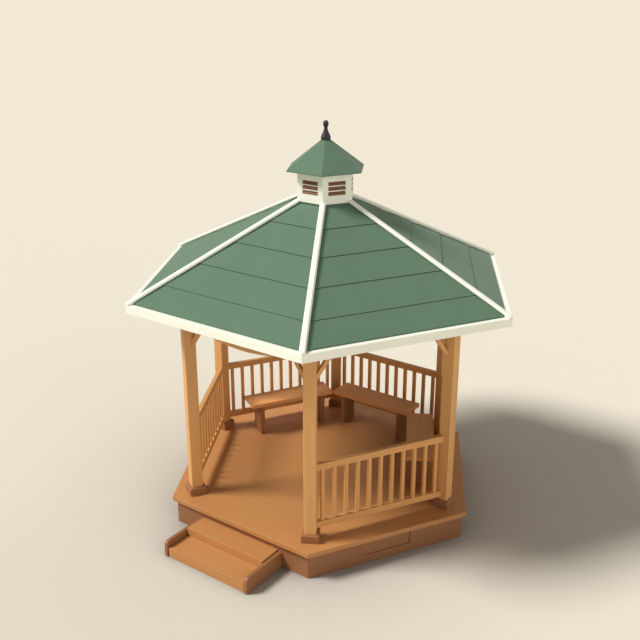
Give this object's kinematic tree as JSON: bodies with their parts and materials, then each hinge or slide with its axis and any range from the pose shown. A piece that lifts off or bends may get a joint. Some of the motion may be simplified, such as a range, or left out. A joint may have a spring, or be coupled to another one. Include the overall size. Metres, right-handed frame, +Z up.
{
  "type": "wooden gazebo",
  "caption": "Six-sided wooden gazebo with a hipped green roof, louvred cupola and finial, railings, benches inside and steps at the open side.",
  "frame": {"origin": "centre line of the six-sided plan at ground level, on the underside of the middle pier block", "axes": "+Z up; -Y points out through the open side with the steps; +X points to the right-hand post seen from the steps"},
  "size_m": [4.6, 4.1999, 4.5015],
  "materials": {
    "floor": "satin oiled softwood",
    "timber": "plain sawn softwood",
    "stone": "cast concrete",
    "stain": "red-brown stained softwood",
    "post": "satin oiled softwood",
    "rail": "satin oiled softwood",
    "trim": "cream painted wood, satin",
    "roof": "green stained lapped roofing, matt",
    "louvre": "red-brown stained softwood",
    "iron": "charcoal, satin",
    "bench": "satin oiled softwood",
    "bench_leg": "red-brown stained softwood"
  },
  "bodies": {
    "root": {"floor_deck": "floor", "floor_hub": "timber", "floor_joists": "timber", "pier_blocks": "stone", "skirt_boards": "stain", "skirt_hatch": "stain", "post_front_left": "post", "post_front_right": "post", "post_right": "post", "post_back_right": "post", "post_back_left": "post", "post_left": "post", "post_plinths": "stain", "rail_front_right": "rail", "rail_back_right": "rail", "rail_back": "rail", "rail_back_left": "rail", "rail_front_left": "rail", "header_beams": "timber", "knee_braces": "post", "entry_board": "post", "hip_rafters": "timber", "common_rafters": "timber", "roof_front": "roof", "roof_front_right": "roof", "roof_back_right": "roof", "roof_back": "roof", "roof_back_left": "roof", "roof_front_left": "roof", "hip_caps": "trim", "fascia_boards": "trim", "cupola_walls": "trim", "cupola_louvres": "louvre", "cupola_roof": "roof", "finial": "iron", "seat_back_right": "bench", "seat_back": "bench", "seat_back_left": "bench", "bench_legs": "bench_leg", "step_sides": "stain", "lower_tread": "floor", "upper_tread": "floor", "step_risers": "floor"}
  },
  "joints": []
}
